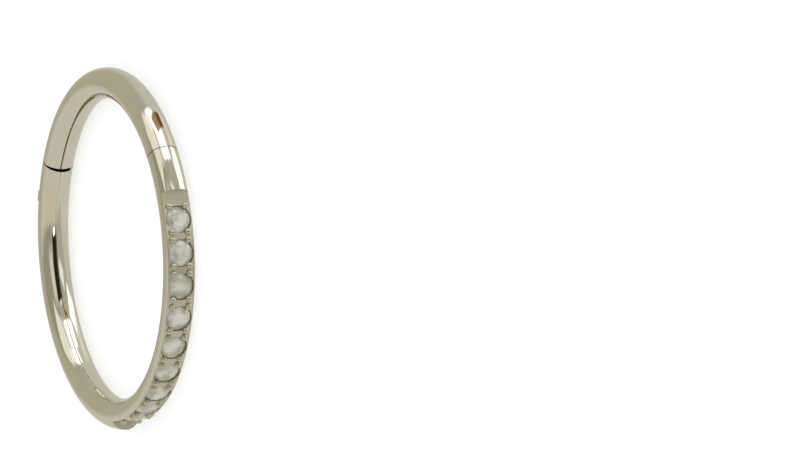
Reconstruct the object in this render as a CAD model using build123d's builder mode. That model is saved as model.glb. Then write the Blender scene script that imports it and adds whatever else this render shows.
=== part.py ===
from build123d import *
from math import cos, degrees, radians, sin, tan
import os

# Hinged piercing hoop: a round wire ring that lies on its side, with nine stones set along its outer face.
# Millimetres. +Z is the ring's axis and z = 0 is the surface it rests on.
# Angles are degrees around the ring, from +X towards +Y. The stone row is on the -Y side.

# The ring
hoop_outside = 14.0
wire = 1.2

# The hinged segment spans the ring from its catch seam up to its hinge seam
catch_angle = -57.5
hinge_angle = 57.0
seam_gap = 0.03
hinge_wedge = 0.11

# Hinge: a tongue on the segment turns on a pin in a slot of the ring
pin_diameter = 0.40
pin_back_length = 1.45
pin_outward = 0.20
pin_proud = 0.035
pin_seat_clearance = 0.01
pin_running_clearance = 0.03
eye_wall = 0.17
tongue_thickness = 0.36
slot_clearance = 0.02
tongue_floor = 0.14
tongue_end_clearance = 0.05

# Catch: a shorter tongue snaps into a pocket in the ring's end
catch_length = 0.45
catch_roof = 0.16
snap_radius = 0.10
snap_height = 0.035
snap_clearance = 0.015

# Stone row on the flattened outer face
flat_depth = 0.35
catch_to_row_length = 1.68
row_margin = 0.53
stone_count = 9
stone_diameter = 1.02
stone_gap = 0.245
table_rise = 0.055
stone_clearance = 0.015

# Cut of each stone
table_diameter = 0.58
girdle_thickness = 0.03
crown_angle = 34.5
star_angle = 22.0
upper_half_angle = 41.5
pavilion_angle = 41.0
lower_half_angle = 42.3
main_facets = 8

# Grains raised from the metal that hold each stone at four corners
grain_radius = 0.13
grain_reach = 0.05
grain_turn = 33.0
grain_lift = 0.03

ring_radius = (hoop_outside - wire) / 2
wire_radius = wire / 2
mid_height = wire / 2
outside_radius = hoop_outside / 2
clear_of_wire = wire


def arc_degrees(length, radius):
    return degrees(length / radius)


def ring_point(angle, outward=0.0, up=0.0):
    reach = ring_radius + outward
    return Vector(reach * cos(radians(angle)), reach * sin(radians(angle)), mid_height + up)


def station(angle, outward=0.0):
    # Local x runs along the wire towards smaller angles, local y outwards, local z up.
    along = (sin(radians(angle)), -cos(radians(angle)), 0)
    return Plane(origin=ring_point(angle, outward), x_dir=along, z_dir=(0, 0, 1))


def wire_section(angle):
    outwards = (cos(radians(angle)), sin(radians(angle)), 0)
    along = (-sin(radians(angle)), cos(radians(angle)), 0)
    return Plane(origin=ring_point(angle), x_dir=outwards, z_dir=along)


def bent_wire(start, stop, radius, mode=Mode.ADD):
    # Round wire bent around the ring's axis from the start angle to the stop angle.
    with BuildSketch(wire_section(start)) as section:
        Circle(radius)
    revolve(section.sketch, axis=Axis.Z, revolution_arc=stop - start, mode=mode)


def ring_band(inner, outer, start, stop):
    # Flat face between two radii and two angles around the ring's axis.
    with BuildSketch() as band:
        with BuildLine():
            inside = CenterArc((0, 0), inner, start, stop - start)
            outside = CenterArc((0, 0), outer, start, stop - start)
            Line(inside @ 0, outside @ 0)
            Line(inside @ 1, outside @ 1)
        make_face()
    return band.sketch


mid_plane = Plane.XY.offset(mid_height)
beyond = ring_radius + clear_of_wire

# Hinge places, in the ring's frame and in the frame of the hinge seam
pin_radius = pin_diameter / 2
pin_angle = hinge_angle + arc_degrees(pin_back_length, ring_radius)
pin_place = ring_point(pin_angle, pin_outward)
hinge_station = station(hinge_angle)
pin_in_seam = hinge_station.to_local_coords(pin_place)
seam_reach = -pin_in_seam.X
eye_radius = pin_radius + pin_running_clearance + eye_wall
eye_pocket = eye_radius + tongue_end_clearance
half_tongue = tongue_thickness / 2
half_slot = half_tongue + slot_clearance
slot_floor = ring_radius - tongue_floor - tongue_end_clearance
root_angle = arc_degrees(wire_radius, ring_radius)
margin_of_wire = arc_degrees(wire, ring_radius)

# Catch places
catch_gap_angle = arc_degrees(seam_gap, ring_radius)
catch_tip_angle = catch_angle - arc_degrees(catch_length, ring_radius)
snap_angle = (catch_angle + catch_tip_angle) / 2
catch_station = station(catch_angle)
pin_in_catch = catch_station.to_local_coords(pin_place)
catch_lift = (catch_length - pin_in_catch.X) / (catch_roof - pin_in_catch.Y)
pocket_length = catch_length + tongue_end_clearance
pocket_floor = -tongue_floor - tongue_end_clearance
pocket_roof = catch_roof + tongue_end_clearance
snap_sink = snap_radius - snap_height

# Stone row places
stone_radius = stone_diameter / 2
table_radius = table_diameter / 2
crown_height = (stone_radius - table_radius) * tan(radians(crown_angle))
pavilion_depth = stone_radius * tan(radians(pavilion_angle))
flat_radius = outside_radius - flat_depth
table_reach = flat_radius + table_rise
girdle_reach = table_reach - crown_height - girdle_thickness / 2
stone_pitch = arc_degrees(stone_diameter + stone_gap, girdle_reach)
margin_angle = arc_degrees(row_margin + stone_radius, girdle_reach)
row_start = catch_angle - arc_degrees(catch_to_row_length, ring_radius)
first_stone = row_start - margin_angle
stone_angles = [first_stone - stone_pitch * k for k in range(stone_count)]
row_stop = stone_angles[-1] - margin_angle


def seam_face(turning_radius, inner_shift, side):
    # One side of the hinge seam: round about the pin on its outer half, and leaning back on its inner half.
    far = side * (seam_reach + clear_of_wire)
    with BuildSketch(hinge_station) as face:
        with Locations((pin_in_seam.X, pin_in_seam.Y)):
            if side > 0:
                Rectangle(2 * clear_of_wire + seam_reach, wire, align=(Align.MIN, Align.MIN))
                Circle(turning_radius, mode=Mode.SUBTRACT)
            else:
                Circle(turning_radius)
                Rectangle(2 * turning_radius, wire, align=(Align.CENTER, Align.MAX), mode=Mode.SUBTRACT)
        seam_x = turning_radius - seam_reach
        low = pin_in_seam.Y - wire
        with BuildLine():
            Polyline(
                (seam_x, pin_in_seam.Y),
                (seam_x + inner_shift, low),
                (far, low),
                (far, pin_in_seam.Y),
                close=True,
            )
        make_face()
    return face.sketch


def stone_place(angle):
    # Local z points outwards along the stone's axis, from the middle of its girdle.
    outwards = (cos(radians(angle)), sin(radians(angle)), 0)
    along = (-sin(radians(angle)), cos(radians(angle)), 0)
    reach = girdle_reach
    return Plane(origin=(reach * outwards[0], reach * outwards[1], mid_height), x_dir=along, z_dir=outwards)


def grain_place(angle, side, up):
    # Local z points outwards, and local x along the wire, away from the grain's stone.
    outwards = (cos(radians(angle)), sin(radians(angle)), 0)
    along = (-side * sin(radians(angle)), side * cos(radians(angle)), 0)
    return Plane(origin=ring_point(angle, grain_outward, up), x_dir=along, z_dir=outwards)


def cut_facets(count, first, angle, reach, height):
    # Cuts a ring of facets. Each plane passes a point at that reach and height and leans by that angle.
    lean = radians(abs(angle))
    rise = cos(lean) if angle > 0 else -cos(lean)
    for k in range(count):
        turn = radians(first + 360 / count * k)
        normal = (sin(lean) * cos(turn), sin(lean) * sin(turn), rise)
        plane = Plane(origin=(reach * cos(turn), reach * sin(turn), height), z_dir=normal)
        split(bisect_by=plane, keep=Keep.BOTTOM)


# Round brilliant stone, with its girdle's middle at the origin and its table upwards
half_girdle = girdle_thickness / 2
main_step = 360 / main_facets
half_reach = stone_radius * cos(radians(main_step / 4))
star_reach = table_radius * cos(radians(main_step / 2))
table_height = half_girdle + crown_height

with BuildPart() as brilliant:
    with BuildSketch(Plane.XY.offset(-half_girdle - pavilion_depth)):
        Circle(stone_radius)
    extrude(amount=pavilion_depth + girdle_thickness + crown_height)
    cut_facets(main_facets, 0, crown_angle, stone_radius, half_girdle)
    cut_facets(main_facets, main_step / 2, star_angle, star_reach, table_height)
    cut_facets(2 * main_facets, main_step / 4, upper_half_angle, half_reach, half_girdle)
    cut_facets(main_facets, 0, -pavilion_angle, stone_radius, -half_girdle)
    cut_facets(2 * main_facets, main_step / 4, -lower_half_angle, half_reach, -half_girdle)

# Space that a stone's lower half needs, drilled from outside, with clearance all round
seat_radius = stone_radius + stone_clearance
seat_depth = half_girdle + stone_clearance
with BuildPart() as seat:
    with BuildSketch(Plane.XZ):
        with BuildLine():
            Polyline(
                (0, -seat_depth - pavilion_depth),
                (seat_radius, -seat_depth),
                (seat_radius, clear_of_wire),
                (0, clear_of_wire),
                close=True,
            )
        make_face()
    revolve(axis=Axis.Z)

grain_distance = stone_radius + grain_radius - grain_reach
grain_along = grain_distance * cos(radians(grain_turn))
grain_up = grain_distance * sin(radians(grain_turn))
grain_step = arc_degrees(grain_along, flat_radius)
grain_outward = flat_radius + grain_lift - ring_radius
grain_places = [
    grain_place(angle + side * grain_step, side, level * grain_up)
    for angle in stone_angles
    for side in (-1, 1)
    for level in (-1, 1)
]

# Tongue that turns on the hinge pin, cut from the wire's own round form
with BuildPart() as hinge_tongue:
    bent_wire(hinge_angle - margin_of_wire, pin_angle + margin_of_wire, wire_radius)
    with BuildSketch(mid_plane):
        add(ring_band(ring_radius - tongue_floor, beyond, hinge_angle - root_angle, pin_angle))
        with Locations((pin_place.X, pin_place.Y)):
            Circle(eye_radius)
    extrude(amount=half_tongue, both=True, mode=Mode.INTERSECT)
    with BuildSketch(mid_plane):
        with Locations((pin_place.X, pin_place.Y)):
            Circle(pin_radius + pin_running_clearance)
    extrude(amount=wire, both=True, mode=Mode.SUBTRACT)

# Tongue that enters the catch pocket, with a small round snap on each side
with BuildPart() as catch_tongue:
    with BuildSketch(mid_plane):
        inner, outer = ring_radius - tongue_floor, ring_radius + catch_roof
        add(ring_band(inner, outer, catch_tip_angle, catch_angle + root_angle))
    extrude(amount=half_tongue, both=True)
    for side in (-1, 1):
        with Locations(ring_point(snap_angle, 0, side * (half_tongue - snap_sink))):
            Sphere(snap_radius)

# Hinged segment
with BuildPart() as hinged_segment:
    bent_wire(catch_angle, pin_angle, wire_radius)
    extrude(seam_face(seam_reach + seam_gap, hinge_wedge, -1), amount=wire, both=True, mode=Mode.SUBTRACT)
    add(hinge_tongue.part)
    add(catch_tongue.part)
hinged_segment.part.label = "hinged_segment"

# Ring body
with BuildPart() as hoop_body:
    bent_wire(hinge_angle - margin_of_wire, catch_angle - catch_gap_angle + 360, wire_radius)

    # Hinge end: rounded about the pin, slotted for the tongue and drilled for the pin
    extrude(seam_face(seam_reach, -hinge_wedge, 1), amount=wire, both=True, mode=Mode.SUBTRACT)
    with BuildSketch(mid_plane):
        add(ring_band(slot_floor, beyond, hinge_angle - margin_of_wire, pin_angle))
        with Locations((pin_place.X, pin_place.Y)):
            Circle(eye_pocket)
    extrude(amount=half_slot, both=True, mode=Mode.SUBTRACT)
    with BuildSketch(station(pin_angle, pin_outward)):
        Rectangle(eye_pocket, wire, align=(Align.MAX, Align.MIN))
    extrude(amount=half_slot, both=True, mode=Mode.SUBTRACT)
    with BuildSketch(mid_plane):
        with Locations((pin_place.X, pin_place.Y)):
            Circle(pin_radius + pin_seat_clearance)
    extrude(amount=wire, both=True, mode=Mode.SUBTRACT)

    # Catch end: a pocket that widens along the tongue's way out, with a dimple for each snap
    with BuildSketch(catch_station):
        with BuildLine():
            Polyline(
                (-wire_radius, pocket_floor),
                (pocket_length, pocket_floor),
                (pocket_length, pocket_roof),
                (0, pocket_roof + pocket_length * catch_lift),
                (-wire_radius, pocket_roof + pocket_length * catch_lift),
                close=True,
            )
        make_face()
    extrude(amount=half_slot, both=True, mode=Mode.SUBTRACT)
    for side in (-1, 1):
        with Locations(ring_point(snap_angle, 0, side * (half_tongue - snap_sink))):
            Sphere(snap_radius + snap_clearance, mode=Mode.SUBTRACT)

    # Flattened outer face with a seat for each stone, and the grains that hold the stones
    with BuildSketch(mid_plane):
        add(ring_band(flat_radius, beyond, row_stop, row_start))
    extrude(amount=wire, both=True, mode=Mode.SUBTRACT)
    for angle in stone_angles:
        add(seat.part.moved(stone_place(angle).location), mode=Mode.SUBTRACT)
    with Locations(*grain_places):
        Sphere(grain_radius)
hoop_body.part.label = "hoop_body"

# Hinge pin, with both ends polished over a little proud of the wire
with BuildPart() as hinge_pin:
    with BuildSketch(Plane.XY):
        with Locations((pin_place.X, pin_place.Y)):
            Circle(pin_radius)
    extrude(amount=wire)
    pin_span = arc_degrees(pin_diameter, ring_radius)
    bent_wire(pin_angle - pin_span, pin_angle + pin_span, wire_radius + pin_proud, mode=Mode.INTERSECT)
hinge_pin.part.label = "hinge_pin"

os.makedirs("parts", exist_ok=True)
export_step(hoop_body.part, "parts/hoop_body.step")
export_step(hinged_segment.part, "parts/hinged_segment.step")
export_step(hinge_pin.part, "parts/hinge_pin.step")
for number, angle in enumerate(stone_angles, start=1):
    stone = brilliant.part.moved(stone_place(angle).location)
    stone.label = f"stone_{number}"
    export_step(stone, f"parts/stone_{number}.step")

print("hoop body", round(hoop_body.part.volume, 3), "segment", round(hinged_segment.part.volume, 3))
print("pin at", round(pin_place.X, 4), round(pin_place.Y, 4))
print("stone volume", round(brilliant.part.volume, 4))
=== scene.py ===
import bpy
import math
from mathutils import Matrix, Vector

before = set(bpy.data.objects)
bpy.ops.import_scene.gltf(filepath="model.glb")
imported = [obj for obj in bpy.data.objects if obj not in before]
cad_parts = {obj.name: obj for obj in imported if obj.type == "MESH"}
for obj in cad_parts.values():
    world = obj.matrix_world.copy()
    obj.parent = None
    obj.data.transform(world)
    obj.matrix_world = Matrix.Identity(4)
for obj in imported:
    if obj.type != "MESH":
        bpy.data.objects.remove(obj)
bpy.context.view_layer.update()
print("frame loaded")

mm = 0.001

# The ring's own sizes, in millimetres
ringValues = {
    "middleRadius": 6.4,     # ring axis to the middle of the wire
    "wireRadius": 0.6,
    "seatSink": 0.01,        # metal this far under the round wire's skin belongs to a seat
}

# Where the photo's camera stands, from the ring as it shows in the picture
cameraValues = {
    "imageSize": (800, 452),           # pixels
    "focalPixels": 7000.0,
    "ringCentre": (114.67, 248.58),    # pixel of the ring's centre
    "ringPixels": 166.05,              # pixels from the centre to the wire's middle, along the long way
    "axisLean": 67.99,                 # degrees between the ring's axis and the line of sight
    "axisTurn": 3.46,                  # degrees that the axis is turned in the picture
    "sensorWidth": 36.0,               # millimetres, as are the distances that the camera sees
    "nearest": 10.0,
    "farthest": 5000.0,
}


def makeCamera(values):
    width, height = values["imageSize"]
    focal = values["focalPixels"]
    distance = focal / values["ringPixels"] * ringValues["middleRadius"]
    centreX, centreY = values["ringCentre"]
    centre = Vector(((centreX - width / 2) / focal, (height / 2 - centreY) / focal, -1)) * distance
    lean, turn = math.radians(values["axisLean"]), math.radians(values["axisTurn"])
    towards = -centre.normalized()
    right = Vector((0, 1, 0)).cross(towards).normalized()
    up = towards.cross(right)
    short = math.cos(turn) * right + math.sin(turn) * up
    long = -math.sin(turn) * right + math.cos(turn) * up
    near = math.cos(lean) * short + math.sin(lean) * towards
    axis = -math.sin(lean) * short + math.cos(lean) * towards
    toRow = Matrix((long, -near, axis))      # the row's +X is up in the picture, and -Y is towards the camera
    data = bpy.data.cameras.new("photoCamera")
    camera = bpy.data.objects.new("photoCamera", data)
    bpy.context.scene.collection.objects.link(camera)
    data.sensor_width = values["sensorWidth"]
    data.lens = values["sensorWidth"] * focal / width
    data.clip_start, data.clip_end = values["nearest"] * mm, values["farthest"] * mm
    place = (toRow @ -centre + Vector((0, 0, ringValues["wireRadius"]))) * mm
    camera.matrix_world = Matrix.Translation(place) @ toRow.to_4x4()
    bpy.context.scene.camera = camera


makeCamera(cameraValues)
bpy.context.scene.view_settings.view_transform = "Standard"
print("camera placed")


def direction(azimuth, elevation):
    # Azimuth 0 is +X (up in the picture) and 90 is the camera's side.
    a, e = math.radians(azimuth), math.radians(elevation)
    return Vector((math.cos(a) * math.cos(e), -math.sin(a) * math.cos(e), math.sin(e)))


def addNode(tree, kind, **settings):
    node = tree.nodes.new(kind)
    for name, value in settings.items():
        setattr(node, name, value)
    return node


def feed(tree, source, target):
    # Links an output to an input, or sets a plain value on it.
    if isinstance(source, bpy.types.NodeSocket):
        tree.links.new(source, target)
    else:
        target.default_value = source


def mathNode(tree, operation, *inputs):
    node = addNode(tree, "ShaderNodeMath", operation=operation)
    for socket, value in zip(node.inputs, inputs):
        feed(tree, value, socket)
    return node.outputs[0]


def vectorNode(tree, operation, *inputs):
    node = addNode(tree, "ShaderNodeVectorMath", operation=operation)
    for socket, value in zip(node.inputs, inputs):
        feed(tree, value, socket)
    return node.outputs["Value"] if operation in ("DOT_PRODUCT", "LENGTH") else node.outputs[0]


def smoothStep(tree, value, low, high, fromValue=0.0, toValue=1.0):
    node = addNode(tree, "ShaderNodeMapRange", interpolation_type="SMOOTHSTEP")
    for socket, item in zip(node.inputs, (value, low, high, fromValue, toValue)):
        feed(tree, item, socket)
    return node.outputs[0]


def mixColour(tree, share, below, above):
    node = addNode(tree, "ShaderNodeMix", data_type="RGBA")
    for index, value in ((0, share), (6, below), (7, above)):      # 6 and 7 are the mix node's two colours
        feed(tree, value, node.inputs[index])
    return node.outputs[2]


def noiseNode(tree, place, scale, detail):
    node = addNode(tree, "ShaderNodeTexNoise")
    feed(tree, place, node.inputs["Vector"])
    feed(tree, scale, node.inputs["Scale"])
    feed(tree, detail, node.inputs["Detail"])
    return node


def splitNode(tree, source):
    node = addNode(tree, "ShaderNodeSeparateXYZ")
    tree.links.new(source, node.inputs[0])
    return node.outputs


def newMaterial(name):
    material = bpy.data.materials.new(name)
    material.use_nodes = True
    return material, material.node_tree, material.node_tree.nodes["Principled BSDF"]


def newGroup(name, inputs, outputs):
    group = bpy.data.node_groups.new(name, "ShaderNodeTree")
    for socketName, kind, value in inputs:
        socket = group.interface.new_socket(socketName, in_out="INPUT", socket_type=kind)
        if value is not None:
            socket.default_value = value
    for socketName, kind in outputs:
        group.interface.new_socket(socketName, in_out="OUTPUT", socket_type=kind)
    return group, addNode(group, "NodeGroupInput"), addNode(group, "NodeGroupOutput")


def placeGroup(tree, group, **values):
    node = addNode(tree, "ShaderNodeGroup", node_tree=group)
    for name, value in values.items():
        feed(tree, value, node.inputs[name])
    return node


def makeLightPanelGroup():
    # A soft-edged rectangle of light or shade, seen in one direction of the studio.
    group, start, end = newGroup(
        "lightPanel",
        [("Look", "NodeSocketVector", None), ("Facing", "NodeSocketVector", None),
         ("Across", "NodeSocketVector", None), ("Along", "NodeSocketVector", None),
         ("HalfWidth", "NodeSocketFloat", 10.0), ("HalfLength", "NodeSocketFloat", 10.0),
         ("SideEdge", "NodeSocketFloat", 3.0), ("Edge", "NodeSocketFloat", 3.0)],
        [("Mask", "NodeSocketFloat")])
    facing = vectorNode(group, "DOT_PRODUCT", start.outputs["Look"], start.outputs["Facing"])
    across = vectorNode(group, "DOT_PRODUCT", start.outputs["Look"], start.outputs["Across"])
    along = vectorNode(group, "DOT_PRODUCT", start.outputs["Look"], start.outputs["Along"])
    turned = mathNode(group, "ABSOLUTE", mathNode(group, "ARCTAN2", across, facing))
    raised = mathNode(group, "ABSOLUTE", mathNode(group, "ARCSINE", along))
    mask = None
    for angle, half, edge in ((turned, "HalfWidth", "SideEdge"), (raised, "HalfLength", "Edge")):
        degrees = mathNode(group, "DEGREES", angle)
        low = mathNode(group, "SUBTRACT", start.outputs[half], start.outputs[edge])
        high = mathNode(group, "ADD", start.outputs[half], start.outputs[edge])
        side = smoothStep(group, degrees, low, high, 1.0, 0.0)
        mask = side if mask is None else mathNode(group, "MULTIPLY", mask, side)
    group.links.new(mask, end.inputs["Mask"])
    return group


# The studio round the ring, as it shows in the polished wire. Angles in degrees.
studioValues = {
    "metal": (0.82, 0.805, 0.76),
    "wall": (190, 183, 163),               # these and the panels' colours are sRGB, as they come back from the metal
    "wallLow": (190, 186, 170),
    "mid": (166, 160, 139),
    "ceiling": (145, 139, 116),
    "low": (184, 181, 163),
    "ceilingBand": (16, 48),
    "wallLowBand": (-18, -2),
    "lowBand": (-12, 8),
    "frontBand": (-0.17, -0.04),           # where the front half starts, along the photo's upward direction
    "frontTurn": 0.25,
    "plain": (1.0, 1.0, 1.0),              # backdrop, as the camera sees it
    "skyLight": (0.80, 0.80, 0.80),        # light that reaches the floor
    # name: azimuth, elevation, lean, half width, half length, soft edge, colour
    "panels": {
        "tableLine": (189, -3.5, -5, 42, 3.4, 2.3, (120, 114, 93)),
        "backShade": (-60, 23.3, 6.5, 32, 32, 7.8, (166, 160, 135)),
        "frontGlow": (69, 43, -15.3, 16.2, 12.3, 7.8, (202, 198, 182)),
        "frontLow": (79, -22, -30, 35, 32, 6.7, (165, 161, 141)),
        "softboxHigh": (3.6, 49, -13, 18.4, 14.2, 2.1, (226, 219, 199)),
        "softboxUpper": (13.4, 26.4, -1.8, 18.2, 10, 1.8, (243, 237, 220)),
        "softboxMiddle": (16.2, 2.8, -1.5, 20.2, 14.4, 1.6, (285, 285, 274)),
        "softboxLow": (24.3, -12.6, 11.1, 11.3, 13.9, 2.1, (285, 285, 274)),
        "softboxFoot": (22, -55, -26.3, 20.1, 13.3, 2.1, (275, 272, 255)),
        "cardFoot": (-12.3, -50, -40, 13.7, 10.5, 4.2, (213, 202, 180)),
        "softboxGap": (21.8, 28.8, -22.2, 12.4, 4.8, 2.1, (193, 190, 175)),
        "cameraShade": (78, 12.2, -0.3, 24.4, 16.4, 2.1, (36, 34, 18)),
        "lampNear": (53, 8.2, -10.5, 1.6, 12.4, 1.8, (229, 222, 203)),
        "lampFar": (105, 16, -8.8, 2.6, 4.6, 1.4, (400, 395, 370)),
        "lampUnder": (73, -23.3, 27.1, 7.5, 12.9, 2.1, (228, 227, 209)),
    },
    "sideEdges": {"tableLine": 26},        # where the left and right edges are softer than the others
}


def lightOf(colour, metal):
    # Light that the metal sends back as that sRGB colour.
    parts = [c / 255 for c in colour]
    linear = [c / 12.92 if c <= 0.04045 else ((c + 0.055) / 1.055) ** 2.4 for c in parts]
    return (*[c / m for c, m in zip(linear, metal)], 1)


def makeStudio(values):
    world = bpy.data.worlds.new("studio")
    bpy.context.scene.world = world
    world.use_nodes = True
    tree = world.node_tree
    background = tree.nodes["Background"]
    look = addNode(tree, "ShaderNodeTexCoord").outputs["Generated"]
    split = splitNode(tree, look)
    path = addNode(tree, "ShaderNodeLightPath").outputs
    panelGroup = makeLightPanelGroup()
    light = {name: lightOf(values[name], values["metal"]) for name in ("wall", "wallLow", "mid", "ceiling", "low")}

    elevation = mathNode(tree, "DEGREES", mathNode(tree, "ARCSINE", split["Z"]))
    wallHeight = smoothStep(tree, elevation, *values["wallLowBand"])
    wall = mixColour(tree, wallHeight, light["wallLow"], light["wall"])
    upper = mixColour(tree, smoothStep(tree, elevation, *values["ceilingBand"]), light["mid"], light["ceiling"])
    front = mixColour(tree, smoothStep(tree, elevation, *values["lowBand"]), light["low"], upper)
    turned = mathNode(tree, "MULTIPLY", split["Y"], values["frontTurn"])
    reach = mathNode(tree, "SUBTRACT", split["X"], turned)
    colour = mixColour(tree, smoothStep(tree, reach, *values["frontBand"]), wall, front)

    for name, (azimuth, lift, lean, halfWidth, halfLength, edge, panelColour) in values["panels"].items():
        facing = direction(azimuth, lift)
        across = Vector((0, 0, 1)).cross(facing).normalized()
        along = facing.cross(across)
        turn = Matrix.Rotation(math.radians(lean), 3, facing)
        panel = placeGroup(tree, panelGroup, Look=look, Facing=facing, Across=turn @ across, Along=turn @ along,
                           HalfWidth=halfWidth, HalfLength=halfLength, SideEdge=values["sideEdges"].get(name, edge),
                           Edge=edge)
        colour = mixColour(tree, panel.outputs["Mask"], colour, lightOf(panelColour, values["metal"]))

    colour = mixColour(tree, path["Is Diffuse Ray"], colour, (*values["skyLight"], 1))
    colour = mixColour(tree, path["Is Camera Ray"], colour, (*values["plain"], 1))
    tree.links.new(colour, background.inputs["Color"])
    background.inputs["Strength"].default_value = 1.0


makeStudio(studioValues)
print("studio made")

floorValues = {
    "size": 4000.0,            # millimetres
    "paper": (0.55, 0.55, 0.55),
    "glow": 0.62,              # light of its own, as on a lit table
}


def makeFloor(values):
    half = values["size"] / 2 * mm
    mesh = bpy.data.meshes.new("floor")
    mesh.from_pydata([(-half, -half, 0), (half, -half, 0), (half, half, 0), (-half, half, 0)], [], [(0, 1, 2, 3)])
    floor = bpy.data.objects.new("floor", mesh)
    bpy.context.scene.collection.objects.link(floor)
    material, tree, shader = newMaterial("floorPaper")
    shader.inputs["Base Color"].default_value = (*values["paper"], 1)
    shader.inputs["Roughness"].default_value = 1.0
    shader.inputs["Specular IOR Level"].default_value = 0.0
    shader.inputs["Emission Color"].default_value = (1, 1, 1, 1)
    shader.inputs["Emission Strength"].default_value = values["glow"]
    # Mirror rays pass through, so that the polished wire shows the studio below the surface.
    clear = addNode(tree, "ShaderNodeBsdfTransparent")
    mix = addNode(tree, "ShaderNodeMixShader")
    glossy = addNode(tree, "ShaderNodeLightPath").outputs["Is Glossy Ray"]
    tree.links.new(glossy, mix.inputs[0])
    tree.links.new(shader.outputs[0], mix.inputs[1])
    tree.links.new(clear.outputs[0], mix.inputs[2])
    tree.links.new(mix.outputs[0], tree.nodes["Material Output"].inputs["Surface"])
    mesh.materials.append(material)


makeFloor(floorValues)
print("floor made")

# A brown card near the ring, which only the polished wire shows. Millimetres and degrees.
cardValues = {
    "middle": (9.0, -5.33, -1.07),
    "lean": 21.9,
    "halfWidth": 0.82,
    "halfLength": 2.29,
    "edge": 0.15,              # half the width of its soft edge
    "top": (157, 128, 92),
    "bottom": (101, 69, 39),
    "fade": 0.6,               # share of the half length over which one colour turns into the other
}


def makeCard(values):
    halfWidth, halfLength, edge = values["halfWidth"], values["halfLength"], values["edge"]
    wide, tall = halfWidth + edge, halfLength + edge
    mesh = bpy.data.meshes.new("brownCard")
    mesh.from_pydata([(-wide, -tall, 0), (wide, -tall, 0), (wide, tall, 0), (-wide, tall, 0)], [], [(0, 1, 2, 3)])
    card = bpy.data.objects.new("brownCard", mesh)
    bpy.context.scene.collection.objects.link(card)
    lean = math.radians(values["lean"])
    across = Vector((0, math.cos(lean), math.sin(lean)))
    along = Vector((0, -math.sin(lean), math.cos(lean)))
    turn = Matrix((across, along, across.cross(along))).transposed().to_4x4()
    card.matrix_world = Matrix.Translation(Vector(values["middle"]) * mm) @ turn @ Matrix.Scale(mm, 4)
    card.visible_camera = card.visible_diffuse = card.visible_transmission = card.visible_shadow = False
    material, tree, shader = newMaterial("brownCard")
    split = splitNode(tree, addNode(tree, "ShaderNodeTexCoord").outputs["Object"])
    fade = values["fade"] * halfLength
    height = smoothStep(tree, split["Y"], -fade, fade)
    colour = mixColour(tree, height, *[lightOf(values[part], studioValues["metal"]) for part in ("bottom", "top")])
    mask = None
    for axis, half in (("X", halfWidth), ("Y", halfLength)):
        away = mathNode(tree, "ABSOLUTE", split[axis])
        side = smoothStep(tree, away, half - edge, half + edge, 1.0, 0.0)
        mask = side if mask is None else mathNode(tree, "MULTIPLY", mask, side)
    shader.inputs["Base Color"].default_value = (0, 0, 0, 1)
    shader.inputs["Specular IOR Level"].default_value = 0.0
    tree.links.new(colour, shader.inputs["Emission Color"])
    shader.inputs["Emission Strength"].default_value = 1.0
    tree.links.new(mask, shader.inputs["Alpha"])
    mesh.materials.append(material)


makeCard(cardValues)
print("card made")

metalValues = {
    "colour": (0.82, 0.805, 0.76),
    "worn": (0.80, 0.775, 0.715),      # slightly warmer patches
    "lineLength": 1.6,                 # millimetres, polishing lines along the wire
    "lineWidth": 0.035,
    "patchSize": 0.9,
    "lineBand": (0.45, 0.75),          # noise from which the lines and the patches start, and at which they are full
    "patchBand": (0.42, 0.68),
    "roughness": (0.025, 0.085),
    "lineTilt": 0.025,                 # how far the lines tip the surface
    "waveSize": 1.3,                   # millimetres, soft waves left by the polishing wheel
    "waveTilt": 0.05,
    "rowTop": 1.9,                     # where the stone row starts, along +X
    "paintedShadeColour": (0.22, 0.19, 0.13),   # painted shade: the metal's colour where the segment mirrors the ring's opposite side
    "farReach": 4.2,                   # millimetres, mirror rays longer than this came across the ring and get the painted shade
    "rowEnd": (-2.8, 0.1),             # below this +X and +Y the row's bright end lies, which the painted shade spares
    "armSide": -1.5,                   # above this +Y the arm across from the row starts
    "evenReach": 6.37,                 # millimetres from that arm's middle to a place that mirrors it
    "downBand": (-0.1, 0.4),           # extra reach times +X, from light that goes up to light that goes down
    "endSoft": 0.5,                    # half the width of both light ends' soft edges
    "bed": (0.68, 0.65, 0.57),         # the row's flat and grains: painted shade between the stones, with a little tarnish
    "bedRoughness": 0.27,
    "bedDepth": 0.24,                  # millimetres outwards from the wire's middle, just under the flat
    "seat": (0.87, 0.855, 0.80),       # the seats under the stones are left satin, and painted lighter against the shade under the stones
    "seatRoughness": 0.5,
}


def makeWirePlaceGroup(values):
    # Place along the bent wire, and outwards and upwards from its middle, in millimetres.
    group, start, end = newGroup("wirePlace", [("Place", "NodeSocketVector", None)], [("Wire", "NodeSocketVector")])
    scaled = vectorNode(group, "DIVIDE", start.outputs["Place"], (mm, mm, mm))
    split = splitNode(group, scaled)
    flat = vectorNode(group, "LENGTH", vectorNode(group, "MULTIPLY", scaled, (1, 1, 0)))
    turn = mathNode(group, "ARCTAN2", split["X"], split["Y"])
    join = addNode(group, "ShaderNodeCombineXYZ")
    feed(group, mathNode(group, "MULTIPLY", turn, values["middleRadius"]), join.inputs[0])
    feed(group, mathNode(group, "SUBTRACT", flat, values["middleRadius"]), join.inputs[1])
    feed(group, mathNode(group, "SUBTRACT", split["Z"], values["wireRadius"]), join.inputs[2])
    group.links.new(join.outputs[0], end.inputs["Wire"])
    return group


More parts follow.
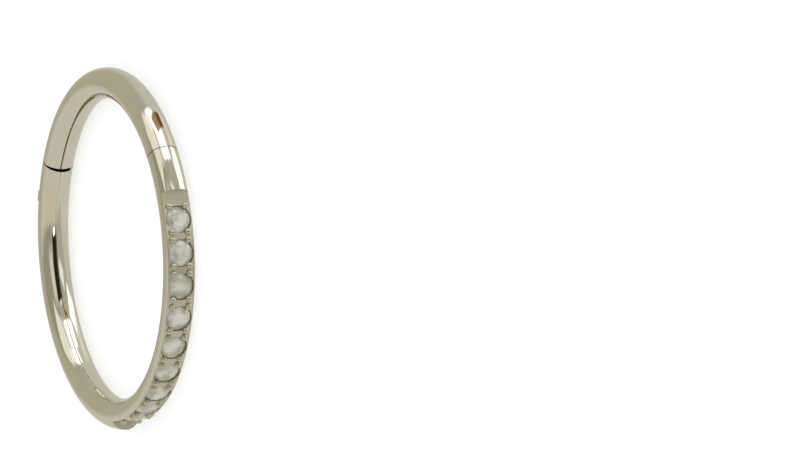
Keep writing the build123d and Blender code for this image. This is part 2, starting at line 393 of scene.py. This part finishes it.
def makePolishGroup(values):
    # Lines along the wire, patches of wear and soft waves, as masks and a tipped normal.
    group, start, end = newGroup(
        "polishMarks",
        [("Wire", "NodeSocketVector", None), ("Normal", "NodeSocketVector", None),
         ("LineLength", "NodeSocketFloat", 1.6), ("LineWidth", "NodeSocketFloat", 0.04),
         ("PatchSize", "NodeSocketFloat", 0.9), ("WaveSize", "NodeSocketFloat", 1.3),
         ("LineTilt", "NodeSocketFloat", 0.01), ("WaveTilt", "NodeSocketFloat", 0.01)],
        [("Patches", "NodeSocketFloat"), ("Lines", "NodeSocketFloat"), ("Normal", "NodeSocketVector")])
    stretch = addNode(group, "ShaderNodeCombineXYZ")
    feed(group, mathNode(group, "DIVIDE", 1.0, start.outputs["LineLength"]), stretch.inputs[0])
    for index in (1, 2):
        feed(group, mathNode(group, "DIVIDE", 1.0, start.outputs["LineWidth"]), stretch.inputs[index])
    drawn = vectorNode(group, "MULTIPLY", start.outputs["Wire"], stretch.outputs[0])
    lines = noiseNode(group, drawn, 1.0, 2.0)
    patches = noiseNode(group, start.outputs["Wire"], mathNode(group, "DIVIDE", 1.0, start.outputs["PatchSize"]), 3.0)
    waves = noiseNode(group, start.outputs["Wire"], mathNode(group, "DIVIDE", 1.0, start.outputs["WaveSize"]), 1.0)
    normal = start.outputs["Normal"]
    for noise, tilt in ((lines, "LineTilt"), (waves, "WaveTilt")):
        centred = vectorNode(group, "SUBTRACT", noise.outputs["Color"], (0.5, 0.5, 0.5))
        scaled = addNode(group, "ShaderNodeVectorMath", operation="SCALE")
        feed(group, centred, scaled.inputs[0])
        feed(group, start.outputs[tilt], scaled.inputs["Scale"])
        normal = vectorNode(group, "ADD", normal, scaled.outputs[0])
    group.links.new(vectorNode(group, "NORMALIZE", normal), end.inputs["Normal"])
    group.links.new(smoothStep(group, patches.outputs[0], *values["patchBand"]), end.inputs["Patches"])
    group.links.new(smoothStep(group, lines.outputs[0], *values["lineBand"]), end.inputs["Lines"])
    return group


def makeRowGroup(values):
    # Masks of the row: its flat with the grains on it, and the seats sunk under the stones.
    group, start, end = newGroup(
        "rowMask",
        [("Place", "NodeSocketVector", None), ("Wire", "NodeSocketVector", None),
         ("BedDepth", "NodeSocketFloat", 0.24), ("RowTop", "NodeSocketFloat", 1.9)],
        [("Bed", "NodeSocketFloat"), ("Seat", "NodeSocketFloat")])
    scaled = vectorNode(group, "DIVIDE", start.outputs["Place"], (mm, mm, mm))
    place, wire = splitNode(group, scaled), splitNode(group, start.outputs["Wire"])
    side = mathNode(group, "LESS_THAN", place["Y"], 0.0)
    below = mathNode(group, "LESS_THAN", place["X"], start.outputs["RowTop"])
    area = mathNode(group, "MULTIPLY", side, below)
    proud = mathNode(group, "GREATER_THAN", wire["Y"], start.outputs["BedDepth"])
    reach = vectorNode(group, "LENGTH", vectorNode(group, "MULTIPLY", start.outputs["Wire"], (0, 1, 1)))
    sunk = mathNode(group, "LESS_THAN", reach, values["wireRadius"] - values["seatSink"])
    seat = mathNode(group, "MULTIPLY", sunk, mathNode(group, "SUBTRACT", 1.0, proud))
    group.links.new(mathNode(group, "MULTIPLY", area, proud), end.inputs["Bed"])
    group.links.new(mathNode(group, "MULTIPLY", area, seat), end.inputs["Seat"])
    return group


def makeMetal(values, wireGroup, polishGroup, rowGroup):
    material, tree, shader = newMaterial("polishedSteel")
    place = addNode(tree, "ShaderNodeTexCoord").outputs["Object"]
    normal = addNode(tree, "ShaderNodeNewGeometry").outputs["Normal"]
    wire = placeGroup(tree, wireGroup, Place=place).outputs["Wire"]
    polish = placeGroup(tree, polishGroup, Wire=wire, Normal=normal, LineLength=values["lineLength"],
                        LineWidth=values["lineWidth"], PatchSize=values["patchSize"], WaveSize=values["waveSize"],
                        LineTilt=values["lineTilt"], WaveTilt=values["waveTilt"])
    colour = mixColour(tree, polish.outputs["Patches"], (*values["colour"], 1), (*values["worn"], 1))
    dull = mathNode(tree, "MULTIPLY", polish.outputs["Patches"], polish.outputs["Lines"])
    roughness = smoothStep(tree, dull, 0.0, 1.0, *values["roughness"])
    row = placeGroup(tree, rowGroup, Place=place, Wire=wire, BedDepth=values["bedDepth"], RowTop=values["rowTop"])
    # The bed's darker colour is painted shade between the stones, with a little tarnish.
    for part in ("bed", "seat"):
        mask = row.outputs[part.title()]
        # the seats' lighter colour is painted light against the shade under the stones
        colour = mixColour(tree, mask, colour, (*values[part], 1))
        roughness = mathNode(tree, "MAXIMUM", roughness, mathNode(tree, "MULTIPLY", mask, values[part + "Roughness"]))

    # Painted shade: the metal's colour turns dark where a mirror ray came across the ring, so its opposite side shows
    # darker in the polish, but not at the row's bright end nor for light that goes down to the arm's lower half.
    path = addNode(tree, "ShaderNodeLightPath").outputs
    spot = splitNode(tree, vectorNode(tree, "DIVIDE", place, (mm, mm, mm)))
    soft = values["endSoft"]
    sides = [smoothStep(tree, spot[axis], edge + soft, edge - soft) for axis, edge in zip("XY", values["rowEnd"])]
    rowEnd = mathNode(tree, "MULTIPLY", *sides)
    extra = mathNode(tree, "SUBTRACT", path["Ray Length"], values["evenReach"] * mm)
    downward = mathNode(tree, "MULTIPLY", mathNode(tree, "DIVIDE", extra, mm), spot["X"])
    armSide = smoothStep(tree, spot["Y"], values["armSide"] - soft, values["armSide"] + soft)
    lowerHalf = mathNode(tree, "MULTIPLY", smoothStep(tree, downward, *values["downBand"]), armSide)
    dark = mathNode(tree, "SUBTRACT", 1.0, mathNode(tree, "MAXIMUM", rowEnd, lowerHalf))
    across = mathNode(tree, "GREATER_THAN", path["Ray Length"], values["farReach"] * mm)
    paintedShadeShare = mathNode(tree, "MULTIPLY", mathNode(tree, "MULTIPLY", dark, across), path["Is Glossy Ray"])
    # the painted shade goes into the metal's colour here, for mirror rays only
    colour = mixColour(tree, paintedShadeShare, colour, (*values["paintedShadeColour"], 1))

    tree.links.new(colour, shader.inputs["Base Color"])
    tree.links.new(roughness, shader.inputs["Roughness"])
    tree.links.new(polish.outputs["Normal"], shader.inputs["Normal"])
    shader.inputs["Metallic"].default_value = 1.0
    return material


stoneValues = {
    "clear": (0.58, 0.58, 0.44),
    "milky": (1.0, 1.0, 0.88),
    "cloudSize": 0.5,                  # millimetres
    "cloudBand": (0.38, 0.62),         # noise from which the clouds start, and at which they are full
    "threadScale": 3.0,                # times finer than the clouds
    "threadWidth": 0.05,
    "ior": 2.15,
    "roughness": (0.05, 0.15),
    "transmission": 0.42,
}


def makeCloudGroup(values):
    # Soft milky clouds with a few fine threads inside the stone.
    group, start, end = newGroup(
        "stoneCloud", [("Place", "NodeSocketVector", None), ("CloudSize", "NodeSocketFloat", 0.35)],
        [("Cloud", "NodeSocketFloat"), ("Threads", "NodeSocketFloat")])
    scaled = vectorNode(group, "DIVIDE", start.outputs["Place"], (mm, mm, mm))
    density = mathNode(group, "DIVIDE", 1.0, start.outputs["CloudSize"])
    cloud = noiseNode(group, scaled, density, 4.0)
    threads = noiseNode(group, scaled, mathNode(group, "MULTIPLY", density, values["threadScale"]), 2.0)
    ridge = mathNode(group, "ABSOLUTE", mathNode(group, "SUBTRACT", threads.outputs[0], 0.5))
    group.links.new(smoothStep(group, cloud.outputs[0], *values["cloudBand"]), end.inputs["Cloud"])
    group.links.new(smoothStep(group, ridge, 0.0, values["threadWidth"], 1.0, 0.0), end.inputs["Threads"])
    return group


def makeStone(values, cloudGroup):
    material, tree, shader = newMaterial("clearStone")
    place = addNode(tree, "ShaderNodeTexCoord").outputs["Object"]
    cloud = placeGroup(tree, cloudGroup, Place=place, CloudSize=values["cloudSize"])
    mask = cloud.outputs["Cloud"]
    colour = mixColour(tree, mask, (*values["clear"], 1), (*values["milky"], 1))
    tree.links.new(colour, shader.inputs["Base Color"])
    threads = mathNode(tree, "MULTIPLY", cloud.outputs["Threads"], mask)
    tree.links.new(smoothStep(tree, threads, 0.0, 1.0, *values["roughness"]), shader.inputs["Roughness"])
    shader.inputs["Transmission Weight"].default_value = values["transmission"]
    shader.inputs["IOR"].default_value = values["ior"]
    return material


wireGroup = makeWirePlaceGroup(ringValues)
polishGroup = makePolishGroup(metalValues)
metal = makeMetal(metalValues, wireGroup, polishGroup, makeRowGroup(ringValues))
stone = makeStone(stoneValues, makeCloudGroup(stoneValues))
for name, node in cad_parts.items():
    material = stone if name.startswith("stone_") else metal
    node.data.materials.clear()
    node.data.materials.append(material)
print("materials made")
